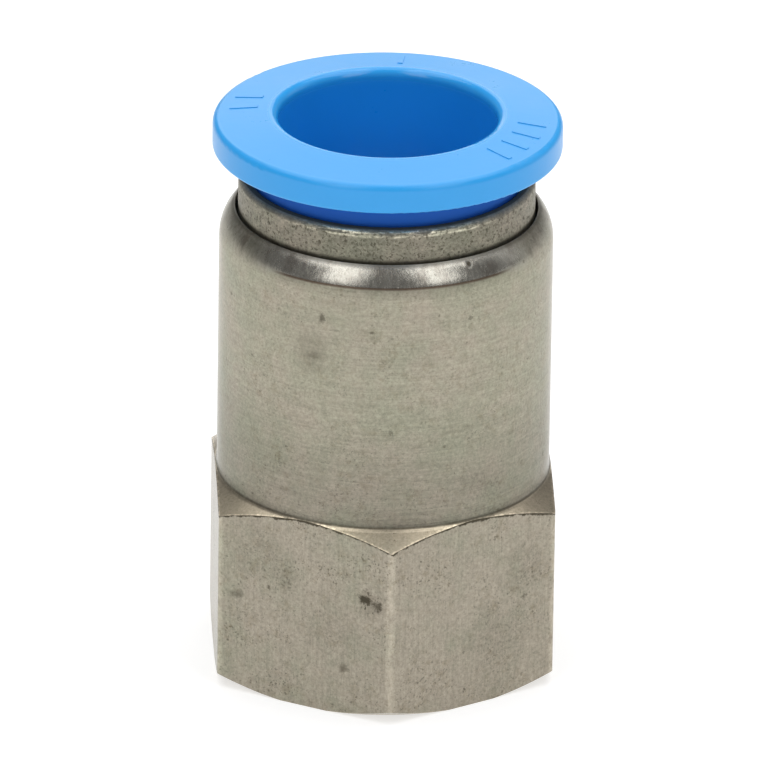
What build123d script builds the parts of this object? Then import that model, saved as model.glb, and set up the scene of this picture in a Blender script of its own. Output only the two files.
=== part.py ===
"""Straight push to connect fitting: 12 mm tube to a G 3/8 female port.

Units are millimetres, +Z is up. The origin is the centre of the hexagon's end face, and the fitting's
axis is Z. The port is at the bottom, the tube goes in at the top.
"""

import os
from math import cos, radians, sin, tan

from build123d import *

os.makedirs("parts", exist_ok=True)

# ---------------------------------------------------------------- driving dimensions

# how far the outline of a cut runs past the piece that it cuts
CUT = 1.0

# hexagon
HEX_FLATS = 19.0
HEX_CORNER_R = HEX_FLATS / 2 / cos(radians(30))
HEX_EDGE_R = 0.32
HEX_TOP_Z = 11.40
HEX_FOOT_R = 9.61
HEX_CHAMFER_ANGLE = 29.5

# barrel and its rolled lip
BARREL_R = 9.41
BARREL_TOP_Z = 25.34
BARREL_FOOT_FILLET = 0.45
SHOULDER_R = 2.50
LIP_OUT_R = 8.60
LIP_TOP_Z = 27.18
LIP_EDGE = 0.11

# port: G 3/8, 19 threads to the inch, with the tapping bore at the wide end of its tolerance
THREAD_MAJOR_R = 16.662 / 2
THREAD_PITCH_R = 15.806 / 2
THREAD_MINOR_R = 15.40 / 2
THREAD_PITCH = 25.4 / 19
THREAD_HALF_ANGLE = 27.5
THREAD_OVERCUT = 0.12
THREAD_LAST_Z = 8.1
PORT_MOUTH_R = 8.50
PORT_FLOOR_Z = 10.2
PASSAGE_R = 4.75
PASSAGE_EDGE = 0.30

# tube socket
TUBE_STOP_Z = 12.0
TUBE_SEAT_R = 6.05
TUBE_SEAT_TOP_Z = 17.2
TUBE_LEAD_RISE = 0.40
TUBE_LEAD_R = 6.25
SEAL_SEAT_R = 8.00
STACK_SEAT_Z = 19.9
STACK_SEAT_R = 8.66

# tube seal, with its lip towards the port
SEAL_R = 7.98
SEAL_FOOT_Z = 17.30
SEAL_TOP_Z = 19.86
SEAL_LIP_R = 6.00
SEAL_LIP_Z = 17.75
SEAL_LIP_FOOT_IN_R = 6.12
SEAL_LIP_FOOT_OUT_R = 6.45
SEAL_GROOVE_R = 6.95
SEAL_GROOVE_Z = 18.45
SEAL_GROOVE_FILLET = 0.30
SEAL_WALL_FOOT_R = 7.45
SEAL_HOLE_R = 6.08
SEAL_HOLE_FOOT_Z = 18.60
SEAL_HOLE_TOP_Z = 19.50
SEAL_HOLE_TOP_R = 6.30
SEAL_EDGE = 0.15

# stack that is held in by the rolled lip
STACK_R = 8.64
STACK_CHAMFER = 0.12
BACKING_TOP_Z = 22.30
BACKING_CONE_TOP_R = 7.96
BACKING_CONE_FOOT_R = 6.95
BACKING_HOLE_R = 6.20
BACKING_WEB = 0.30
LOCK_THICK = 0.35
GUIDE_FOOT_Z = BACKING_TOP_Z + LOCK_THICK
GUIDE_SHOULDER_Z = 26.28
GUIDE_SHOULDER_RISE = 0.22
GUIDE_NECK_R = 8.36
GUIDE_TOP_Z = 29.18
GUIDE_OUTER_EDGE = 0.44
GUIDE_INNER_EDGE = 0.10
GUIDE_HOLE_R = 7.80
GUIDE_CATCH_R = 8.16
GUIDE_CATCH_Z = 25.00

# rolled lip over the guide ring's shoulder
LIP_GAP = 0.02
LIP_IN_R = LIP_OUT_R - LIP_EDGE
LIP_UNDER_Z = GUIDE_SHOULDER_Z + GUIDE_SHOULDER_RISE + LIP_GAP

# lock teeth
TOOTH_COUNT = 14
TOOTH_ROOT_R = 7.35
TOOTH_ROOT_Z = BACKING_TOP_Z + LOCK_THICK / 2
TOOTH_SLOPE = 42.0
TOOTH_LENGTH = 2.45
TOOTH_ROOT_WIDTH = 2.40
TOOTH_TIP_WIDTH = 1.90
TOOTH_GRIP_R = 5.75
TOOTH_SIDE_GAP = 0.05
LOCK_RIM_HOLE_R = 7.30
POCKET_DEPTH = 2.0
TOOTH_ROOT_GAP = 0.03

# release ring
RING_R = 9.84
RING_UNDER_Z = 30.78
RING_EDGE_Z = 32.44
RING_TOP_Z = 32.82
RING_LIP_R = 6.64
RING_LIP_EDGE = 0.45
RING_OUTER_EDGE = 0.38
RING_UNDER_EDGE = 0.22
RING_NECK_FILLET = 0.25
RING_BORE_R = 6.17
RING_NECK_R = 7.72
CATCH_R = 8.06
CATCH_TIP_R = 7.81
CATCH_FOOT_Z = 24.22
CATCH_SLOPE_Z = 24.56
CATCH_TOP_Z = 24.96
NOSE_TIP_Z = 22.72
NOSE_TIP_R = 6.42
NOSE_BEND_R = 6.86
NOSE_BEND_Z = 23.62
NOSE_ROOT_R = 7.08
SLOT_COUNT = 4
SLOT_WIDTH = 1.0
SLOT_DEPTH = 4.0
SLOT_TOP_Z = 27.6

# moulded marks on the ring's face: plain radial bars, in three groups
BAR_HEIGHT = 0.04
BAR_WIDTH = 0.30
BAR_LENGTH = 1.60
BAR_MID_R = 8.15
BAR_ANGLES = (-43, -32, -21, -10, 82, 160, 171)


def corners(*points):
    """The sketch corners nearest to these points."""
    return [vertices().sort_by_distance((x, y, 0))[0] for x, y in points]


# ---------------------------------------------------------------- body

with BuildPart() as body:
    # bar stock for the whole length, with its six edges broken
    with BuildSketch(Plane.XY):
        RegularPolygon(radius=HEX_CORNER_R, side_count=6, rotation=30)
        fillet(vertices(), radius=HEX_EDGE_R)
    extrude(amount=LIP_TOP_Z)

    # turned outline: a chamfer at each end of the hexagon, the barrel, and the lip rolled in at the top
    foot_rise = (HEX_CORNER_R + CUT - HEX_FOOT_R) * tan(radians(HEX_CHAMFER_ANGLE))
    top_drop = (HEX_CORNER_R + CUT - BARREL_R) * tan(radians(HEX_CHAMFER_ANGLE))
    with BuildSketch(Plane.XZ):
        with BuildLine():
            Polyline(
                (0, 0),
                (HEX_FOOT_R, 0),
                (HEX_CORNER_R + CUT, foot_rise),
                (HEX_CORNER_R + CUT, HEX_TOP_Z - top_drop),
                (BARREL_R, HEX_TOP_Z),
                (BARREL_R, BARREL_TOP_Z),
            )
            RadiusArc((BARREL_R, BARREL_TOP_Z), (LIP_OUT_R, LIP_TOP_Z), -SHOULDER_R)
            Polyline(
                (LIP_OUT_R, LIP_TOP_Z),
                (LIP_OUT_R - LIP_EDGE / 2, LIP_TOP_Z),
                (LIP_IN_R, LIP_TOP_Z - LIP_EDGE / 2),
                (LIP_IN_R, LIP_UNDER_Z),
                (0, LIP_UNDER_Z),
                (0, 0),
            )
        make_face()
        fillet(corners((BARREL_R, HEX_TOP_Z)), radius=BARREL_FOOT_FILLET)
    revolve(axis=Axis.Z, mode=Mode.INTERSECT)

    # inside, from the port's mouth to the rolled lip
    mouth_rise = PORT_MOUTH_R - THREAD_MINOR_R
    with BuildSketch(Plane.XZ):
        with BuildLine():
            Polyline(
                (0, -CUT),
                (PORT_MOUTH_R + CUT, -CUT),
                (THREAD_MINOR_R, mouth_rise),
                (THREAD_MINOR_R, PORT_FLOOR_Z),
                (PASSAGE_R + PASSAGE_EDGE, PORT_FLOOR_Z),
                (PASSAGE_R, PORT_FLOOR_Z + PASSAGE_EDGE),
                (PASSAGE_R, TUBE_STOP_Z),
                (TUBE_SEAT_R, TUBE_STOP_Z),
                (TUBE_SEAT_R, TUBE_SEAT_TOP_Z - TUBE_LEAD_RISE),
                (TUBE_LEAD_R, TUBE_SEAT_TOP_Z),
                (SEAL_SEAT_R, TUBE_SEAT_TOP_Z),
                (SEAL_SEAT_R, STACK_SEAT_Z),
                (STACK_SEAT_R, STACK_SEAT_Z),
                (STACK_SEAT_R, GUIDE_SHOULDER_Z + LIP_GAP),
                (LIP_IN_R, LIP_UNDER_Z),
                (LIP_IN_R, LIP_TOP_Z + CUT),
                (0, LIP_TOP_Z + CUT),
                close=True,
            )
        make_face()
    revolve(axis=Axis.Z, mode=Mode.SUBTRACT)

    # thread groove, running in from below the mouth and stopping short of the port's floor
    flank = tan(radians(THREAD_HALF_ANGLE))
    root_half = THREAD_PITCH / 4 - (THREAD_MAJOR_R - THREAD_PITCH_R) * flank
    open_r = THREAD_MINOR_R - THREAD_OVERCUT
    open_half = THREAD_PITCH / 4 + (THREAD_PITCH_R - open_r) * flank
    thread_first_z = -THREAD_PITCH
    with BuildLine(mode=Mode.PRIVATE) as thread_line:
        Helix(
            pitch=THREAD_PITCH,
            height=THREAD_LAST_Z - thread_first_z,
            radius=THREAD_PITCH_R,
            center=(0, 0, thread_first_z),
        )
    with BuildSketch(Plane.XZ, mode=Mode.PRIVATE) as thread_section:
        with BuildLine():
            Polyline(
                (open_r, thread_first_z - open_half),
                (THREAD_MAJOR_R, thread_first_z - root_half),
                (THREAD_MAJOR_R, thread_first_z + root_half),
                (open_r, thread_first_z + open_half),
                close=True,
            )
        make_face()
    sweep(
        sections=thread_section.sketch,
        path=thread_line.line,
        is_frenet=True,
        mode=Mode.SUBTRACT,
    )

body.part.label = "body"
export_step(body.part, "parts/body.step")

# ---------------------------------------------------------------- tube seal: a lip seal, open to the port

with BuildPart() as tube_seal:
    with BuildSketch(Plane.XZ):
        with BuildLine():
            Polyline(
                (SEAL_LIP_R, SEAL_LIP_Z),
                (SEAL_LIP_FOOT_IN_R, SEAL_FOOT_Z),
                (SEAL_LIP_FOOT_OUT_R, SEAL_FOOT_Z),
                (SEAL_GROOVE_R, SEAL_GROOVE_Z),
                (SEAL_WALL_FOOT_R, SEAL_FOOT_Z),
                (SEAL_R, SEAL_FOOT_Z),
                (SEAL_R, SEAL_TOP_Z),
                (SEAL_HOLE_TOP_R, SEAL_TOP_Z),
                (SEAL_HOLE_R, SEAL_HOLE_TOP_Z),
                (SEAL_HOLE_R, SEAL_HOLE_FOOT_Z),
                close=True,
            )
        make_face()
        fillet(corners((SEAL_GROOVE_R, SEAL_GROOVE_Z)), radius=SEAL_GROOVE_FILLET)
        fillet(corners((SEAL_R, SEAL_TOP_Z), (SEAL_LIP_R, SEAL_LIP_Z)), radius=SEAL_EDGE)
    revolve(axis=Axis.Z)

tube_seal.part.label = "tube_seal"
export_step(tube_seal.part, "parts/tube_seal.step")

# ---------------------------------------------------------------- backing ring under the teeth

with BuildPart() as backing_ring:
    with BuildSketch(Plane.XZ):
        with BuildLine():
            Polyline(
                (BACKING_HOLE_R, STACK_SEAT_Z),
                (STACK_R, STACK_SEAT_Z),
                (STACK_R, BACKING_TOP_Z),
                (BACKING_CONE_TOP_R, BACKING_TOP_Z),
                (BACKING_CONE_FOOT_R, STACK_SEAT_Z + BACKING_WEB),
                (BACKING_HOLE_R, STACK_SEAT_Z + BACKING_WEB),
                close=True,
            )
        make_face()
        chamfer(corners((STACK_R, STACK_SEAT_Z), (STACK_R, BACKING_TOP_Z)), length=STACK_CHAMFER)
    revolve(axis=Axis.Z)

backing_ring.part.label = "backing_ring"
export_step(backing_ring.part, "parts/backing_ring.step")

# ---------------------------------------------------------------- lock ring: rim, with a root pocket for each tooth

with BuildPart() as lock_ring:
    with BuildSketch(Plane.XY.offset(BACKING_TOP_Z)):
        Circle(radius=STACK_R)
        Circle(radius=LOCK_RIM_HOLE_R, mode=Mode.SUBTRACT)
        pocket_r = TOOTH_ROOT_R + LOCK_THICK / 2 + TOOTH_ROOT_GAP
        with PolarLocations(pocket_r - POCKET_DEPTH / 2, TOOTH_COUNT):
            Rectangle(POCKET_DEPTH, TOOTH_ROOT_WIDTH + 2 * TOOTH_SIDE_GAP, mode=Mode.SUBTRACT)
    extrude(amount=LOCK_THICK)

lock_ring.part.label = "lock_ring"
export_step(lock_ring.part, "parts/lock_ring.step")

# ---------------------------------------------------------------- lock teeth

for tooth_number in range(TOOTH_COUNT):
    turn = tooth_number * 360 / TOOTH_COUNT
    with BuildPart() as lock_tooth:
        # round root
        with BuildSketch(Plane.XZ.offset(TOOTH_ROOT_WIDTH / 2)):
            with Locations((TOOTH_ROOT_R, TOOTH_ROOT_Z)):
                Circle(radius=LOCK_THICK / 2)
        extrude(amount=-TOOTH_ROOT_WIDTH)
        # blade, leaning in and down from the root
        blade = Plane(
            origin=(TOOTH_ROOT_R, 0, TOOTH_ROOT_Z),
            x_dir=(-cos(radians(TOOTH_SLOPE)), 0, -sin(radians(TOOTH_SLOPE))),
            z_dir=(-sin(radians(TOOTH_SLOPE)), 0, cos(radians(TOOTH_SLOPE))),
        )
        with BuildSketch(blade.offset(-LOCK_THICK / 2)):
            with BuildLine():
                Polyline(
                    (0, -TOOTH_ROOT_WIDTH / 2),
                    (0, TOOTH_ROOT_WIDTH / 2),
                    (TOOTH_LENGTH, TOOTH_TIP_WIDTH / 2),
                    (TOOTH_LENGTH, -TOOTH_TIP_WIDTH / 2),
                    close=True,
                )
            make_face()
        extrude(amount=LOCK_THICK)
        # the biting edge follows the tube
        with BuildSketch(Plane.XY.offset(BACKING_TOP_Z - TOOTH_LENGTH)):
            Circle(radius=TOOTH_GRIP_R)
        extrude(amount=2 * TOOTH_LENGTH, mode=Mode.SUBTRACT)
    placed = lock_tooth.part.rotate(Axis.Z, turn)
    name = f"lock_tooth_{tooth_number + 1:02d}"
    placed.label = name
    export_step(placed, f"parts/{name}.step")

# ---------------------------------------------------------------- guide ring

with BuildPart() as guide_ring:
    with BuildSketch(Plane.XZ):
        with BuildLine():
            Polyline(
                (GUIDE_CATCH_R, GUIDE_FOOT_Z),
                (STACK_R, GUIDE_FOOT_Z),
                (STACK_R, GUIDE_SHOULDER_Z),
                (GUIDE_NECK_R, GUIDE_SHOULDER_Z + GUIDE_SHOULDER_RISE),
                (GUIDE_NECK_R, GUIDE_TOP_Z),
                (GUIDE_HOLE_R, GUIDE_TOP_Z),
                (GUIDE_HOLE_R, GUIDE_CATCH_Z),
                (GUIDE_CATCH_R, GUIDE_CATCH_Z),
                close=True,
            )
        make_face()
        fillet(corners((GUIDE_NECK_R, GUIDE_TOP_Z)), radius=GUIDE_OUTER_EDGE)
        fillet(corners((GUIDE_HOLE_R, GUIDE_TOP_Z)), radius=GUIDE_INNER_EDGE)
        chamfer(corners((STACK_R, GUIDE_FOOT_Z)), length=STACK_CHAMFER)
    revolve(axis=Axis.Z)

guide_ring.part.label = "guide_ring"
export_step(guide_ring.part, "parts/guide_ring.step")

# ---------------------------------------------------------------- release ring

with BuildPart() as release_ring:
    with BuildSketch(Plane.XZ):
        with BuildLine():
            Polyline(
                (RING_BORE_R, NOSE_TIP_Z),
                (NOSE_TIP_R, NOSE_TIP_Z),
                (NOSE_BEND_R, NOSE_BEND_Z),
                (NOSE_ROOT_R, CATCH_FOOT_Z),
                (CATCH_TIP_R, CATCH_FOOT_Z),
                (CATCH_R, CATCH_SLOPE_Z),
                (CATCH_R, CATCH_TOP_Z),
                (RING_NECK_R, CATCH_TOP_Z),
                (RING_NECK_R, RING_UNDER_Z),
                (RING_R, RING_UNDER_Z),
                (RING_R, RING_EDGE_Z),
                (RING_LIP_R, RING_TOP_Z),
                (RING_BORE_R, RING_TOP_Z),
                close=True,
            )
        make_face()
        fillet(corners((RING_R, RING_EDGE_Z)), radius=RING_OUTER_EDGE)
        fillet(corners((RING_R, RING_UNDER_Z)), radius=RING_UNDER_EDGE)
        fillet(corners((RING_BORE_R, RING_TOP_Z)), radius=RING_LIP_EDGE)
        fillet(corners((RING_NECK_R, RING_UNDER_Z)), radius=RING_NECK_FILLET)
    revolve(axis=Axis.Z)

    # slots that let the catch spring in when the ring is snapped into its guide
    with BuildSketch(Plane.XY.offset(NOSE_TIP_Z - CUT)):
        with PolarLocations(RING_NECK_R, SLOT_COUNT, start_angle=45):
            Rectangle(SLOT_DEPTH, SLOT_WIDTH)
    extrude(amount=SLOT_TOP_Z - NOSE_TIP_Z + CUT, mode=Mode.SUBTRACT)

    # moulded bars, standing a little above the sloping face
    with BuildPart(mode=Mode.PRIVATE) as bars:
        with BuildSketch(Plane.XY.offset(RING_UNDER_Z)):
            for angle in BAR_ANGLES:
                with Locations(Rotation(0, 0, angle) * Location((BAR_MID_R, 0, 0))):
                    Rectangle(BAR_LENGTH, BAR_WIDTH)
        extrude(amount=RING_TOP_Z - RING_UNDER_Z + CUT)
        with BuildSketch(Plane.XZ):
            with BuildLine():
                Polyline(
                    (RING_LIP_R, RING_TOP_Z - 2 * BAR_HEIGHT),
                    (RING_R, RING_EDGE_Z - 2 * BAR_HEIGHT),
                    (RING_R, RING_EDGE_Z + BAR_HEIGHT),
                    (RING_LIP_R, RING_TOP_Z + BAR_HEIGHT),
                    close=True,
                )
            make_face()
        revolve(axis=Axis.Z, mode=Mode.INTERSECT)
    add(bars.part)

release_ring.part.label = "release_ring"
export_step(release_ring.part, "parts/release_ring.step")
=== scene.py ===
"""Push to connect fitting: looks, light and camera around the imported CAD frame. Metres, +Z up."""

import math

import bpy
from mathutils import Matrix, Vector


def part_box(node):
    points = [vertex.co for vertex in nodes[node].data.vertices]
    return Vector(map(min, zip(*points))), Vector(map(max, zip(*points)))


MM = 0.001

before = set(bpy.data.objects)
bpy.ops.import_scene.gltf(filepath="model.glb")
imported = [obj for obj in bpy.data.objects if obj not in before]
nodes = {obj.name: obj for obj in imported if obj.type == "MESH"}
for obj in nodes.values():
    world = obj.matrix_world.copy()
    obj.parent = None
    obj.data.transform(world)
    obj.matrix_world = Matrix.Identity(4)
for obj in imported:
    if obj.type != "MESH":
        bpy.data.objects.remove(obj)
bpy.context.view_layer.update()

# ---------------------------------------------------------------- sizes from the frame

body_low, body_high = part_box("body")
FLAT = body_high.x
EDGE_R = body_high.y
LIP_TOP_Z = body_high.z
guide_low, guide_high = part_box("guide_ring")
GUIDE_TOP_Z = guide_high.z

# sizes inside the pieces' boxes, in step with part.py
BARREL_R = 9.41 * MM
CHAMFER_TOP_Z = 11.40 * MM
CHAMFER_SLOPE = math.tan(math.radians(29.5))
SHOULDER_Z = 25.34 * MM
SHOULDER_R = 2.50 * MM
GUIDE_NECK_R = 8.36 * MM
RING_R = 9.84 * MM
RING_NECK_R = 7.72 * MM
RING_LIP_R = 6.64 * MM
RING_UNDER_Z = 30.78 * MM
RING_EDGE_Z = 32.44 * MM

# where the shoulder's polished band starts
BURNISH_Z = 26.06 * MM


def on_body(azimuth, height):
    """The point of the body's skin at this height and azimuth, 0 in front and growing to the right."""
    if height > SHOULDER_Z:
        radius = BARREL_R - SHOULDER_R + math.sqrt(SHOULDER_R**2 - (height - SHOULDER_Z) ** 2)
    elif height > CHAMFER_TOP_Z:
        radius = BARREL_R
    else:
        from_middle_of_flat = azimuth % 60 - 30
        radius = FLAT / math.cos(math.radians(from_middle_of_flat))
    turn = math.radians(azimuth)
    return Vector((radius * math.sin(turn), -radius * math.cos(turn), height))


# ---------------------------------------------------------------- shader building


def rgb(red, green, blue):
    """A colour given as 0 to 255 on a screen, in the linear values that shaders take."""

    def linear(value):
        value /= 255
        return value / 12.92 if value <= 0.04045 else ((value + 0.055) / 1.055) ** 2.4

    return (linear(red), linear(green), linear(blue), 1.0)


class Shader:
    """A material's node tree, with short calls for what the materials below are made of."""

    def __init__(self, name):
        self.material = bpy.data.materials.new(name)
        self.material.use_nodes = True
        self.tree = self.material.node_tree
        self.tree.nodes.clear()
        output = self.tree.nodes.new("ShaderNodeOutputMaterial")
        self.surface = self.tree.nodes.new("ShaderNodeBsdfPrincipled")
        self.tree.links.new(self.surface.outputs[0], output.inputs["Surface"])
        self.place = self.tree.nodes.new("ShaderNodeTexCoord").outputs["Object"]
        split = self.tree.nodes.new("ShaderNodeSeparateXYZ")
        self.tree.links.new(self.place, split.inputs[0])
        self.x, self.y, self.z = split.outputs

    def put(self, value, socket):
        """Sets a socket to a number or a colour, or links it."""
        if isinstance(value, bpy.types.NodeSocket):
            self.tree.links.new(value, socket)
        else:
            socket.default_value = value

    def surface_is(self, **values):
        """Sets the shader's sockets, named with _ for a space."""
        for name, value in values.items():
            self.put(value, self.surface.inputs[name.replace("_", " ")])

    def math(self, operation, *values):
        node = self.tree.nodes.new("ShaderNodeMath")
        node.operation = operation
        for value, socket in zip(values, node.inputs):
            self.put(value, socket)
        return node.outputs[0]

    def fold(self, operation, values):
        result = values[0]
        for value in values[1:]:
            result = self.math(operation, result, value)
        return result

    def add(self, *values):
        return self.fold("ADD", values)

    def times(self, *values):
        return self.fold("MULTIPLY", values)

    def highest(self, *values):
        return self.fold("MAXIMUM", values)

    def less(self, value, taken):
        return self.math("SUBTRACT", value, taken)

    def ramp(self, value, low, high, to_low=0.0, to_high=1.0):
        """value from low to high, smoothly mapped to to_low to to_high and held past both ends."""
        node = self.tree.nodes.new("ShaderNodeMapRange")
        node.interpolation_type = "SMOOTHSTEP"
        for number, socket in zip((value, low, high, to_low, to_high), node.inputs):
            self.put(number, socket)
        return node.outputs[0]

    def vector(self, x, y, z):
        node = self.tree.nodes.new("ShaderNodeCombineXYZ")
        for value, socket in zip((x, y, z), node.inputs):
            self.put(value, socket)
        return node.outputs[0]

    def stretched(self, along_xy, along_z):
        """Coordinates that make a pattern longer by these factors, across the axis and along it."""
        return self.vector(
            self.times(self.x, 1 / along_xy),
            self.times(self.y, 1 / along_xy),
            self.times(self.z, 1 / along_z),
        )

    def grain(self, place, size, detail=3.0, roughness=0.6):
        """Noise with bumps of about this size, from -0.5 to 0.5."""
        node = self.tree.nodes.new("ShaderNodeTexNoise")
        self.put(place, node.inputs["Vector"])
        node.inputs["Scale"].default_value = 1 / size
        node.inputs["Detail"].default_value = detail
        node.inputs["Roughness"].default_value = roughness
        return self.less(node.outputs[0], 0.5)

    def specks(self, spacing, radius, rarity, ragged=0.0, density=1.0):
        """Specks up to this radius, about one to each spacing. A high rarity makes most of them small."""
        cells = self.tree.nodes.new("ShaderNodeTexVoronoi")
        self.put(self.place, cells.inputs["Vector"])
        cells.inputs["Scale"].default_value = 1 / spacing
        own = self.tree.nodes.new("ShaderNodeSeparateColor")
        self.tree.links.new(cells.outputs["Color"], own.inputs[0])
        size = self.times(self.math("POWER", own.outputs[0], rarity), radius / spacing, density)
        distance = cells.outputs["Distance"]
        if ragged:
            distance = self.add(distance, self.times(self.grain(self.place, radius), ragged))
        return self.ramp(distance, size, self.times(size, 0.5))

    def flecks(self, size, share):
        """Ragged flecks of about this size. share is about how much of the surface they cover."""
        cover = self.grain(self.place, size, detail=2.0, roughness=0.55)
        edge = 0.20 - 0.60 * share
        return self.ramp(cover, edge, edge + 0.10)

    def stain(self, azimuth, height, size, flat=1.0, torn=1.9):
        """One ragged patch on the body, 1 in its middle. flat above 1 makes it wider than high."""
        middle = on_body(azimuth, height)
        distance = self.tree.nodes.new("ShaderNodeVectorMath")
        distance.operation = "DISTANCE"
        self.put(self.stretched(1.0, 1 / flat), distance.inputs[0])
        distance.inputs[1].default_value = (middle.x, middle.y, middle.z * flat)
        ragged = self.times(self.grain(self.place, size * 0.50, detail=5.0, roughness=0.7), size * torn)
        return self.ramp(self.add(distance.outputs["Value"], ragged), size, size * 0.25)

    def cluster(self, azimuth, height, size, flat=1.0):
        """A patch on the body where small dark flecks stand close together."""
        patch = self.stain(azimuth, height, size, flat)
        return self.times(patch, self.add(0.35, self.flecks(0.17 * MM, share=0.26)))

    def mix(self, share, one, other):
        """A colour from one, at share 0, to other, at share 1."""
        node = self.tree.nodes.new("ShaderNodeMix")
        node.data_type = "RGBA"
        node.clamp_factor = True
        self.put(share, node.inputs[0])
        self.put(one, node.inputs[6])
        self.put(other, node.inputs[7])
        return node.outputs[2]

    def lighten(self, colour, factor):
        """The colour times a number."""
        node = self.tree.nodes.new("ShaderNodeVectorMath")
        node.operation = "SCALE"
        self.put(colour, node.inputs[0])
        self.put(factor, node.inputs["Scale"])
        return node.outputs[0]

    def bump(self, height, depth):
        """A normal for relief whose height of 1 stands this far out."""
        node = self.tree.nodes.new("ShaderNodeBump")
        node.inputs["Distance"].default_value = depth
        self.put(height, node.inputs["Height"])
        return node.outputs[0]

    def edge_on(self):
        """1 where the surface is seen edge-on, where any finish looks glossier, and 0 over most of it."""
        node = self.tree.nodes.new("ShaderNodeLayerWeight")
        node.inputs["Blend"].default_value = 0.5
        return self.ramp(node.outputs["Facing"], 0.70, 1.0)

    def radius(self):
        return self.math("SQRT", self.add(self.times(self.x, self.x), self.times(self.y, self.y)))

    def hexagon(self):
        """Distance from the axis as a hexagon measures it: the same all over its six flats."""
        half = self.times(self.x, 0.5)
        side = self.times(self.y, math.sqrt(3) / 2)
        return self.highest(
            self.math("ABSOLUTE", self.x),
            self.math("ABSOLUTE", self.add(half, side)),
            self.math("ABSOLUTE", self.less(half, side)),
        )


# ---------------------------------------------------------------- materials

PLATE_GREEN = rgb(161, 160, 141)
PLATE_PINK = rgb(167, 159, 144)
PLATE_BRIGHT = rgb(186, 183, 175)
PLATE_BROWN = rgb(186, 173, 151)
RUST = rgb(88, 68, 56)
TARNISH = rgb(122, 111, 88)
# the colour of dirt, also used for painted shade
GRIME_AND_PAINTED_SHADE = rgb(66, 60, 47)


def worn_plate(s, mottle=1.0, warmth=0.0):
    """Nickel plate's own colour with its unevenness, which goes from patches of a few millimetres to fine
    grain, and two of the patterns behind it."""
    patches = s.grain(s.place, 3.4 * MM, detail=2.0)
    clouds = s.grain(s.place, 0.9 * MM, detail=4.0)
    fine = s.grain(s.place, 0.19 * MM, detail=4.0, roughness=0.8)
    hue = s.ramp(s.add(patches, s.times(clouds, 0.5), warmth), -0.30, 0.30)
    colour = s.mix(hue, PLATE_GREEN, PLATE_PINK)
    light = s.add(
        0.97,
        s.times(patches, 0.16 * mottle),
        s.times(clouds, 0.30 * mottle),
        s.times(fine, 1.15 * mottle),
    )
    return s.lighten(colour, light), clouds, fine


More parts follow.
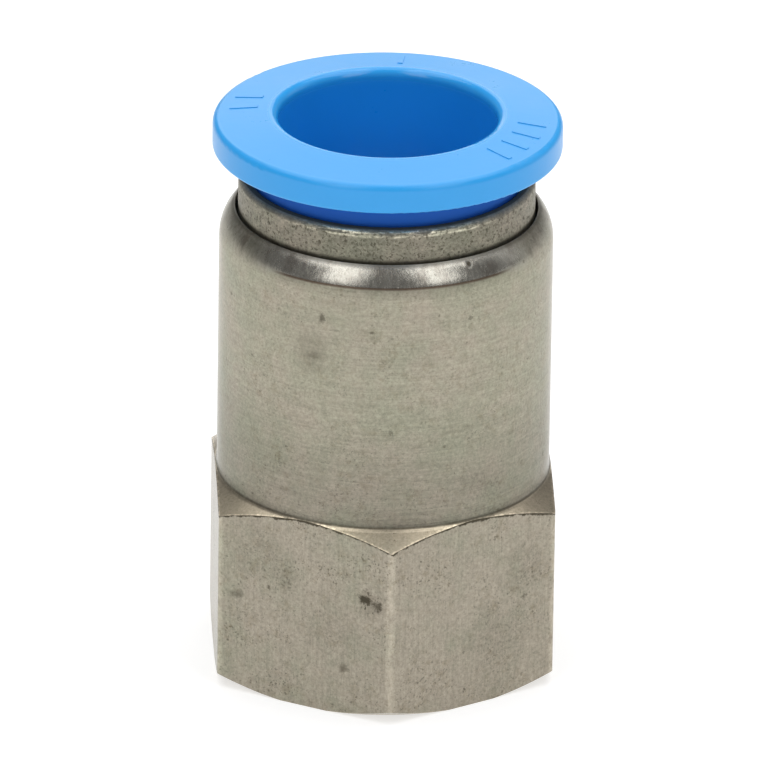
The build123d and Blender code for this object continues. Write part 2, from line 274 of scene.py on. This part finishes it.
def nickel_body():
    """Dull nickel plate: drawn flats, turned barrel, polished chamfers and shoulder, specks and stains."""
    s = Shader("nickel_body")
    radius = s.radius()
    hexagon = s.hexagon()

    # which part of the surface this is
    chamfer_z = s.less(CHAMFER_TOP_Z, s.times(s.less(radius, BARREL_R), CHAMFER_SLOPE))
    under_chamfer = s.less(chamfer_z, s.z)
    below_barrel = s.ramp(s.z, CHAMFER_TOP_Z + 0.10 * MM, CHAMFER_TOP_Z - 0.02 * MM)
    on_flat = s.ramp(hexagon, FLAT - 0.012 * MM, FLAT - 0.004 * MM)
    on_edge = s.times(
        s.ramp(radius, EDGE_R - 0.14 * MM, EDGE_R - 0.03 * MM),
        s.ramp(under_chamfer, 0.0, 0.05 * MM),
    )
    on_hexagon = s.highest(on_flat, on_edge)
    on_chamfer = s.times(below_barrel, s.less(1.0, on_hexagon))

    # the shoulder is polished in front, with a sharp lower edge there that fades out towards the sides
    in_front = s.ramp(s.y, -4.3 * MM, -6.4 * MM)
    fade = s.ramp(s.y, -5.4 * MM, -7.6 * MM, 0.70 * MM, 0.03 * MM)
    on_shoulder = s.ramp(s.z, s.less(BURNISH_Z, fade), s.add(BURNISH_Z, fade))
    burnished = s.times(on_shoulder, s.add(0.20, s.times(in_front, 0.80)))
    polished = s.highest(s.times(on_chamfer, 0.45), burnished)
    on_barrel = s.less(1.0, s.highest(below_barrel, on_shoulder))

    # marks of making and use: lines round the barrel, grain down the flats, scratches, slanting scuffs
    turned = s.grain(s.stretched(24, 1), 0.10 * MM, detail=3.0, roughness=0.7)
    turned_wide = s.grain(s.stretched(14, 1), 0.42 * MM, detail=2.0)
    drawn = s.grain(s.stretched(1, 22), 0.11 * MM, detail=3.0, roughness=0.7)
    rolled = s.grain(s.stretched(1, 10), 0.13 * MM, detail=4.0, roughness=0.75)
    lines = s.add(
        s.times(on_barrel, s.add(turned, s.times(turned_wide, 0.5))),
        s.times(on_flat, drawn),
        s.times(on_shoulder, rolled, 1.7),
    )
    scratches = s.times(
        s.ramp(s.grain(s.stretched(16, 1), 0.16 * MM, detail=1.0), 0.20, 0.27),
        s.ramp(s.grain(s.place, 1.3 * MM), 0.06, 0.14),
        on_barrel,
    )
    lean = 0.55
    slanting = s.vector(
        s.add(s.x, s.times(s.z, lean)),
        s.y,
        s.times(s.less(s.z, s.times(s.x, lean)), 1 / 13),
    )
    scuffs = s.times(
        s.ramp(s.grain(slanting, 0.12 * MM, detail=1.0), 0.19, 0.26),
        s.ramp(s.grain(s.place, 1.6 * MM), 0.04, 0.12),
    )

    # dirt: specks that crowd in patches, a few larger pits, brown tarnish, and stains
    crowd = s.ramp(s.grain(s.place, 2.6 * MM, detail=2.0), -0.12, 0.20, 0.40, 1.20)
    crowd = s.times(crowd, s.ramp(s.z, 24 * MM, 9 * MM, 0.70, 1.0))
    flecks = s.times(s.flecks(0.14 * MM, share=0.19), crowd)
    specks = s.highest(
        s.times(s.specks(0.30 * MM, 0.10 * MM, rarity=1.8, ragged=0.9, density=crowd), 0.8),
        s.specks(1.10 * MM, 0.26 * MM, rarity=5.0, ragged=0.7, density=crowd),
    )
    tarnish = s.ramp(s.grain(s.place, 0.60 * MM, detail=6.0, roughness=0.75), -0.01, 0.16)
    tarnish = s.times(tarnish, crowd, s.less(1.0, s.highest(on_shoulder, on_chamfer)))
    stains = s.highest(
        # the dark double stain beside the front corner
        s.times(s.stain(-7.9, 7.40 * MM, 0.60 * MM, flat=1.4, torn=2.5), 0.88),
        s.times(s.stain(-3.9, 7.10 * MM, 0.46 * MM, torn=2.5), 0.76),
        s.times(s.cluster(-6.4, 7.20 * MM, 1.15 * MM), 0.58),
        # the rest of the front left flat
        s.times(s.stain(-54.2, 5.95 * MM, 0.66 * MM, flat=1.8), 0.42),
        s.times(s.stain(-14.9, 2.90 * MM, 0.42 * MM), 0.45),
        s.times(s.cluster(-37.0, 7.65 * MM, 1.00 * MM, flat=0.7), 0.34),
        s.times(s.cluster(-48.0, 9.00 * MM, 2.40 * MM), 0.22),
        s.times(s.cluster(-20.0, 5.20 * MM, 2.60 * MM), 0.16),
        # the front right flat
        s.times(s.cluster(41.0, 3.60 * MM, 3.40 * MM), 0.24),
        s.times(s.cluster(50.0, 7.60 * MM, 2.20 * MM), 0.24),
        # the barrel, with its wide soft smudge
        s.times(s.cluster(33.0, 13.60 * MM, 1.80 * MM, flat=1.6), 0.22),
        s.times(s.stain(-25.0, 23.97 * MM, 0.26 * MM, flat=0.6), 0.60),
        s.times(s.stain(-7.4, 23.40 * MM, 0.22 * MM, flat=1.6), 0.55),
        s.times(s.stain(-28.6, 21.75 * MM, 1.50 * MM, flat=0.8, torn=1.0), 0.20),
        s.times(s.stain(-28.0, 21.62 * MM, 0.70 * MM, flat=1.4, torn=1.4), 0.40),
        # invented ones, on the sides that the photograph doesn't show
        s.times(s.stain(95.0, 5.20 * MM, 0.80 * MM, flat=1.4), 0.60),
        s.times(s.stain(160.0, 18.50 * MM, 0.70 * MM, flat=1.6), 0.50),
        s.times(s.stain(-140.0, 6.00 * MM, 0.90 * MM, flat=1.3), 0.50),
    )
    # a nick in the shoulder: a dent, with painted shade in it and a painted highlight on the shoulder
    # beside it
    nick_dent_with_painted_shade = s.stain(28.6, 26.90 * MM, 0.25 * MM, flat=0.7, torn=0.9)
    painted_highlight_beside_nick = s.times(s.stain(26.4, 26.90 * MM, 0.26 * MM, flat=0.8, torn=0.6), s.less(1.0, nick_dent_with_painted_shade))

    # edges: a dark, broken burr along the top of each flat, bright wear with painted glints beside it,
    # bright wear with a painted highlight down the corners, painted shade where the barrel meets the
    # chamfers, and dirt where the lip meets the guide ring
    ragged = s.times(s.grain(s.place, 0.26 * MM, detail=4.0, roughness=0.7), 0.34 * MM)
    burr_width = s.ramp(s.grain(s.place, 0.7 * MM), -0.15, 0.20, 0.07 * MM, 0.17 * MM)
    burr_end = s.less(burr_width, 0.07 * MM)
    burr = s.times(on_hexagon, s.ramp(s.add(under_chamfer, ragged), burr_width, burr_end))
    beside_burr = s.ramp(s.add(hexagon, s.times(ragged, 0.8)), FLAT - 0.12 * MM, FLAT - 0.04 * MM)
    # bright wear with painted glints: a much lighter, broken colour on the chamfers beside the burr
    burr_wear_and_painted_glints = s.times(
        on_chamfer,
        beside_burr,
        s.ramp(s.grain(s.place, 0.20 * MM, detail=4.0), -0.12, 0.10, 0.1, 1.0),
    )
    # bright wear down the corners, partly a painted highlight: a lighter colour on the rounded corners
    corner_wear_and_painted_highlight = s.times(on_edge, s.ramp(s.grain(s.stretched(1, 3), 0.30 * MM), -0.22, 0.05))
    # painted shade where the barrel meets the chamfers, and the barrel darker towards its bottom
    foot_grime_and_painted_shade = s.times(
        s.add(
            s.ramp(s.z, CHAMFER_TOP_Z + 0.75 * MM, CHAMFER_TOP_Z + 0.10 * MM, 0.0, 0.6),
            s.ramp(s.z, 20.0 * MM, 12.5 * MM),
        ),
        s.less(1.0, below_barrel),
    )
    # painted shade: a thin dark line in the crease at the barrel's foot
    painted_foot_shade_line = s.times(
        s.ramp(s.z, CHAMFER_TOP_Z + 0.16 * MM, CHAMFER_TOP_Z + 0.06 * MM),
        s.ramp(s.z, CHAMFER_TOP_Z - 0.02 * MM, CHAMFER_TOP_Z + 0.02 * MM),
        s.ramp(s.grain(s.place, 0.9 * MM), -0.25, 0.05, 0.4, 1.0),
    )
    lip_grime = s.ramp(s.z, LIP_TOP_Z - 0.24 * MM, LIP_TOP_Z - 0.04 * MM)
    burnish_line = s.times(
        s.ramp(s.z, BURNISH_Z - 0.16 * MM, BURNISH_Z - 0.05 * MM),
        s.ramp(s.z, BURNISH_Z + 0.04 * MM, BURNISH_Z),
        s.ramp(s.y, -6.2 * MM, -7.4 * MM),
    )
    smear = s.times(on_shoulder, s.ramp(s.grain(s.stretched(1, 4), 0.90 * MM, detail=4.0), -0.05, 0.20))

    plate, clouds, fine = worn_plate(s, warmth=s.times(on_hexagon, 0.16))
    plate = s.mix(s.times(tarnish, 0.42), plate, TARNISH)
    plate = s.mix(s.times(burnished, 0.8), plate, PLATE_BRIGHT)
    plate = s.mix(s.times(on_chamfer, 0.7), plate, PLATE_BROWN)
    plate = s.mix(s.times(smear, 0.36), plate, RUST)
    plate = s.mix(s.times(burnish_line, 0.80), plate, RUST)
    light = s.add(
        1.02,
        s.times(lines, 0.48),
        s.times(scratches, -0.16),
        s.times(scuffs, -0.15),
        s.times(corner_wear_and_painted_highlight, 0.20),
        s.times(burr_wear_and_painted_glints, 0.85),
        s.times(painted_highlight_beside_nick, 0.60),
        s.times(foot_grime_and_painted_shade, -0.24),
        s.times(on_flat, -0.06),
        s.times(on_chamfer, fine, 0.9),
        s.times(s.less(on_shoulder, burnished), -0.22),
    )
    # dirt, and the painted shade of the foot line and the nick
    dirt_and_painted_shade = s.highest(
        s.times(flecks, s.add(0.34, s.times(on_flat, 0.12))),
        s.times(specks, s.add(0.40, s.times(on_flat, 0.10))),
        stains,
        s.times(burr, 0.86),
        s.times(painted_foot_shade_line, 0.55),
        s.times(lip_grime, 0.55),
        s.times(nick_dent_with_painted_shade, 0.88),
    )
    s.surface_is(
        Metallic=1.0,
        Base_Color=s.mix(dirt_and_painted_shade, s.lighten(plate, light), GRIME_AND_PAINTED_SHADE),
        Roughness=s.add(
            0.43,
            s.times(polished, -0.21),
            s.times(corner_wear_and_painted_highlight, -0.10),
            s.times(clouds, 0.16),
            s.times(lines, 0.10),
            s.times(dirt_and_painted_shade, 0.20),
            s.times(s.edge_on(), -0.18),
        ),
        Normal=s.bump(
            s.add(s.times(lines, 0.8), s.times(fine, 0.7), s.times(dirt_and_painted_shade, -0.7), s.times(nick_dent_with_painted_shade, -4.0)),
            0.005 * MM,
        ),
    )
    return s.material


def nickel_guide():
    """The guide ring's plate: duller and dirtier than the body's. Its top is dusty, has painted shade,
    nearly black, on the inside, and is worn bright in front, where the lighter colour is partly a painted
    glint."""
    s = Shader("nickel_guide")
    plate, clouds, fine = worn_plate(s, mottle=1.5)
    turned = s.grain(s.stretched(12, 1), 0.16 * MM, detail=3.0, roughness=0.7)
    pits = s.highest(
        s.times(s.flecks(0.16 * MM, share=0.24), 0.85),
        s.specks(0.34 * MM, 0.13 * MM, rarity=1.8, ragged=1.2),
        s.times(s.flecks(0.50 * MM, share=0.14), 0.6),
    )
    radius = s.radius()
    near_top = s.ramp(s.z, GUIDE_TOP_Z - 0.44 * MM, GUIDE_TOP_Z - 0.22 * MM)
    # bright wear on the top's rounded edge, strongest in front, partly a painted glint: a much lighter
    # colour
    top_wear_and_painted_glints = s.times(
        s.ramp(s.z, GUIDE_TOP_Z - 0.54 * MM, GUIDE_TOP_Z - 0.40 * MM),
        s.ramp(s.y, -5.6 * MM, -7.5 * MM, 0.12, 1.0),
        s.ramp(radius, GUIDE_NECK_R - 0.18 * MM, GUIDE_NECK_R - 0.11 * MM),
        s.ramp(s.grain(s.stretched(4, 1), 0.16 * MM, detail=4.0), -0.10, 0.08),
    )
    dusty = s.highest(s.less(near_top, top_wear_and_painted_glints), 0.0)
    # painted shade in the gap under the flange: the inner top edge nearly black
    painted_gap_shade = s.times(
        s.ramp(radius, GUIDE_NECK_R - 0.14 * MM, GUIDE_NECK_R - 0.26 * MM),
        s.ramp(s.z, GUIDE_TOP_Z - 0.30 * MM, GUIDE_TOP_Z - 0.22 * MM),
    )
    foot_grime_and_painted_shade = s.ramp(s.z, LIP_TOP_Z + 0.30 * MM, LIP_TOP_Z - 0.05 * MM)
    # dirt, and the painted shade in the gap under the flange
    dirt_and_painted_shade = s.highest(
        s.times(pits, 0.58),
        s.times(foot_grime_and_painted_shade, 0.55),
        s.times(dusty, 0.40),
        s.times(painted_gap_shade, 0.92),
    )
    light = s.add(0.71, s.times(turned, 0.40), s.times(clouds, 0.35), s.times(top_wear_and_painted_glints, 0.95))
    s.surface_is(
        Metallic=s.less(1.0, s.times(dusty, 0.70)),
        Base_Color=s.mix(dirt_and_painted_shade, s.lighten(plate, light), GRIME_AND_PAINTED_SHADE),
        Roughness=s.add(0.50, s.times(top_wear_and_painted_glints, -0.20), s.times(clouds, 0.2), s.times(dirt_and_painted_shade, 0.3)),
        Normal=s.bump(s.add(turned, fine, s.times(dirt_and_painted_shade, -0.8)), 0.006 * MM),
    )
    return s.material


def blue_acetal():
    """Moulded blue plastic, semi-matte, with a very slight unevenness. A paler colour round the flange's
    top edge is a painted highlight; it is glossier on the mouth of the bore; a darker colour in the bore
    and on the neck is painted shade."""
    s = Shader("blue_acetal")
    mottle = s.grain(s.place, 1.4 * MM)
    fine = s.grain(s.place, 0.16 * MM, detail=2.0)
    radius = s.radius()
    # painted shade on the neck under the flange: a much darker blue there, and rougher
    painted_shade_under_flange = s.times(
        s.ramp(radius, RING_NECK_R - 0.82 * MM, RING_NECK_R - 0.42 * MM),
        s.ramp(s.z, RING_UNDER_Z + 0.02 * MM, RING_UNDER_Z - 0.10 * MM),
    )
    # painted highlight round the flange's top edge: a paler blue there
    painted_rim_highlight = s.times(
        s.ramp(radius, RING_R - 0.46 * MM, RING_R - 0.26 * MM),
        s.ramp(s.z, RING_EDGE_Z - 0.02 * MM, RING_EDGE_Z + 0.14 * MM),
    )
    on_mouth = s.times(
        s.ramp(radius, RING_LIP_R + 0.16 * MM, RING_LIP_R - 0.02 * MM),
        s.ramp(s.z, RING_EDGE_Z - 0.3 * MM, RING_EDGE_Z - 0.1 * MM),
    )
    # painted shade in the bore: a darker, deeper blue from inside the mouth down
    in_bore_painted_shade = s.times(
        s.ramp(radius, RING_LIP_R + 0.26 * MM, RING_LIP_R - 0.34 * MM),
        s.ramp(s.z, RING_EDGE_Z + 0.1 * MM, RING_EDGE_Z - 0.6 * MM),
    )
    colour = s.mix(s.add(0.5, s.times(mottle, 1.6)), rgb(43, 161, 235), rgb(48, 164, 239))
    # painted shade: the bore's deeper blue
    colour = s.mix(s.times(in_bore_painted_shade, 0.8), colour, rgb(24, 148, 242))
    # painted highlight: the pale blue round the flange's top edge
    colour = s.mix(s.times(painted_rim_highlight, 0.50), colour, rgb(128, 202, 252))
    # painted shade: the neck's dark blue
    colour = s.mix(s.times(painted_shade_under_flange, 0.95), colour, rgb(6, 84, 178))
    s.surface_is(
        Base_Color=colour,
        Roughness=s.add(
            0.30,
            s.times(on_mouth, -0.17),
            s.times(painted_shade_under_flange, 0.50),
            s.times(fine, 0.06),
            s.times(mottle, 0.10),
        ),
        Normal=s.bump(s.add(s.times(mottle, 2.0), s.times(fine, 0.2)), 0.004 * MM),
    )
    return s.material


def spring_stainless():
    """Stamped spring steel, bright, with rolling lines."""
    s = Shader("spring_stainless")
    rolled = s.grain(s.stretched(4, 1), 0.18 * MM)
    s.surface_is(
        Metallic=1.0,
        Base_Color=s.mix(s.add(0.5, rolled), rgb(172, 174, 176), rgb(206, 207, 208)),
        Roughness=s.add(0.28, s.times(rolled, 0.2)),
        Normal=s.bump(rolled, 0.003 * MM),
    )
    return s.material


def natural_acetal():
    """Undyed moulded plastic."""
    s = Shader("natural_acetal")
    mottle = s.grain(s.place, 0.8 * MM)
    s.surface_is(
        Base_Color=s.mix(s.add(0.5, mottle), rgb(214, 210, 198), rgb(228, 225, 214)),
        Roughness=s.add(0.44, s.times(mottle, 0.15)),
        Normal=s.bump(mottle, 0.004 * MM),
    )
    return s.material


def black_rubber():
    """Moulded nitrile rubber with a light bloom."""
    s = Shader("black_rubber")
    bloom = s.grain(s.place, 0.6 * MM, detail=4.0)
    s.surface_is(
        Base_Color=s.mix(s.add(0.5, bloom), rgb(24, 24, 25), rgb(44, 44, 46)),
        Roughness=s.add(0.65, s.times(bloom, 0.3)),
        Normal=s.bump(bloom, 0.008 * MM),
    )
    return s.material


def dress(node, material):
    """Gives a CAD node one material."""
    mesh = nodes[node].data
    mesh.materials.clear()
    mesh.materials.append(material)


steel = spring_stainless()
dress("body", nickel_body())
dress("guide_ring", nickel_guide())
dress("release_ring", blue_acetal())
dress("lock_ring", steel)
dress("backing_ring", natural_acetal())
dress("tube_seal", black_rubber())
for node in nodes:
    if node.startswith("lock_tooth_"):
        dress(node, steel)


# ---------------------------------------------------------------- floor, light and camera


def floor():
    """A plain white table that goes past every view. Its own glow keeps the fitting's shadow faint."""
    half = 3.0
    corners = [(-half, -half, 0), (half, -half, 0), (half, half, 0), (-half, half, 0)]
    mesh = bpy.data.meshes.new("floor")
    mesh.from_pydata(corners, [], [(0, 1, 2, 3)])
    table = bpy.data.objects.new("floor", mesh)
    bpy.context.scene.collection.objects.link(table)
    just_under = -0.02 * MM
    table.location.z = just_under
    s = Shader("white_table")
    s.surface_is(
        Base_Color=(0.55, 0.55, 0.55, 1),
        Roughness=0.9,
        Specular_IOR_Level=0.0,
        Emission_Color=(1, 1, 1, 1),
        Emission_Strength=0.60,
    )
    mesh.materials.append(s.material)


def softbox(name, azimuth, elevation, wide, high, brightness):
    """An area light that faces the fitting from 1 m away. Its place and size are angles in degrees as the
    fitting sees it, with azimuth 0 in front and growing to the right. Brightness 1 is a white wall's."""
    turn = math.radians(azimuth)
    rise = math.radians(elevation)
    light = bpy.data.lights.new(name, "AREA")
    light.shape = "RECTANGLE"
    light.size = 2 * math.tan(math.radians(wide / 2)) * math.cos(rise)
    light.size_y = 2 * math.tan(math.radians(high / 2))
    light.energy = math.pi * light.size * light.size_y * brightness
    lamp = bpy.data.objects.new(name, light)
    bpy.context.scene.collection.objects.link(lamp)
    away = Vector((math.sin(turn) * math.cos(rise), -math.cos(turn) * math.cos(rise), math.sin(rise)))
    middle = Vector((0, 0, 18 * MM))
    lamp.location = middle + away
    lamp.rotation_mode = "QUATERNION"
    lamp.rotation_quaternion = away.to_track_quat("Z", "Y")


def white_room(strength):
    world = bpy.data.worlds.new("white_room")
    bpy.context.scene.world = world
    world.use_nodes = True
    background = world.node_tree.nodes["Background"]
    background.inputs["Color"].default_value = (1, 1, 1, 1)
    background.inputs["Strength"].default_value = strength


def camera():
    """The photograph's view: from far away with a long lens, looking down, rolled very slightly."""
    elevation = math.radians(23.78)
    turn = math.radians(-3.05)
    roll = math.radians(0.850)
    distance = 0.9246
    aim = Vector((0, 0, 16.16 * MM))
    right = Vector((1, 0, 0))
    up = Vector((0, math.sin(elevation), math.cos(elevation)))
    back = Vector((0, -math.cos(elevation), math.sin(elevation)))
    rolled_right = right * math.cos(roll) + up * math.sin(roll)
    rolled_up = up * math.cos(roll) - right * math.sin(roll)
    spin = Matrix.Rotation(turn, 3, "Z")
    lens = bpy.data.cameras.new("camera")
    lens.sensor_width = 36.0
    lens.lens = 767.2
    lens.clip_start = 0.1
    lens.clip_end = 10.0
    eye = bpy.data.objects.new("camera", lens)
    bpy.context.scene.collection.objects.link(eye)
    axes = Matrix((spin @ rolled_right, spin @ rolled_up, spin @ back)).transposed()
    eye.matrix_world = Matrix.Translation(spin @ (aim + back * distance)) @ axes.to_4x4()
    bpy.context.scene.camera = eye


floor()
white_room(0.20)
softbox("front_left", -35, 37, 25, 43, 2.05)
softbox("front_right", 36, 37, 25, 43, 1.95)
softbox("side_right", 105, 26, 34, 40, 0.4)
softbox("high_left", -96, 66, 100, 32, 1.75)
softbox("high_right", 96, 66, 100, 32, 1.75)
softbox("back", 180, 52, 50, 88, 1.38)
camera()
bpy.context.scene.view_settings.view_transform = "Standard"
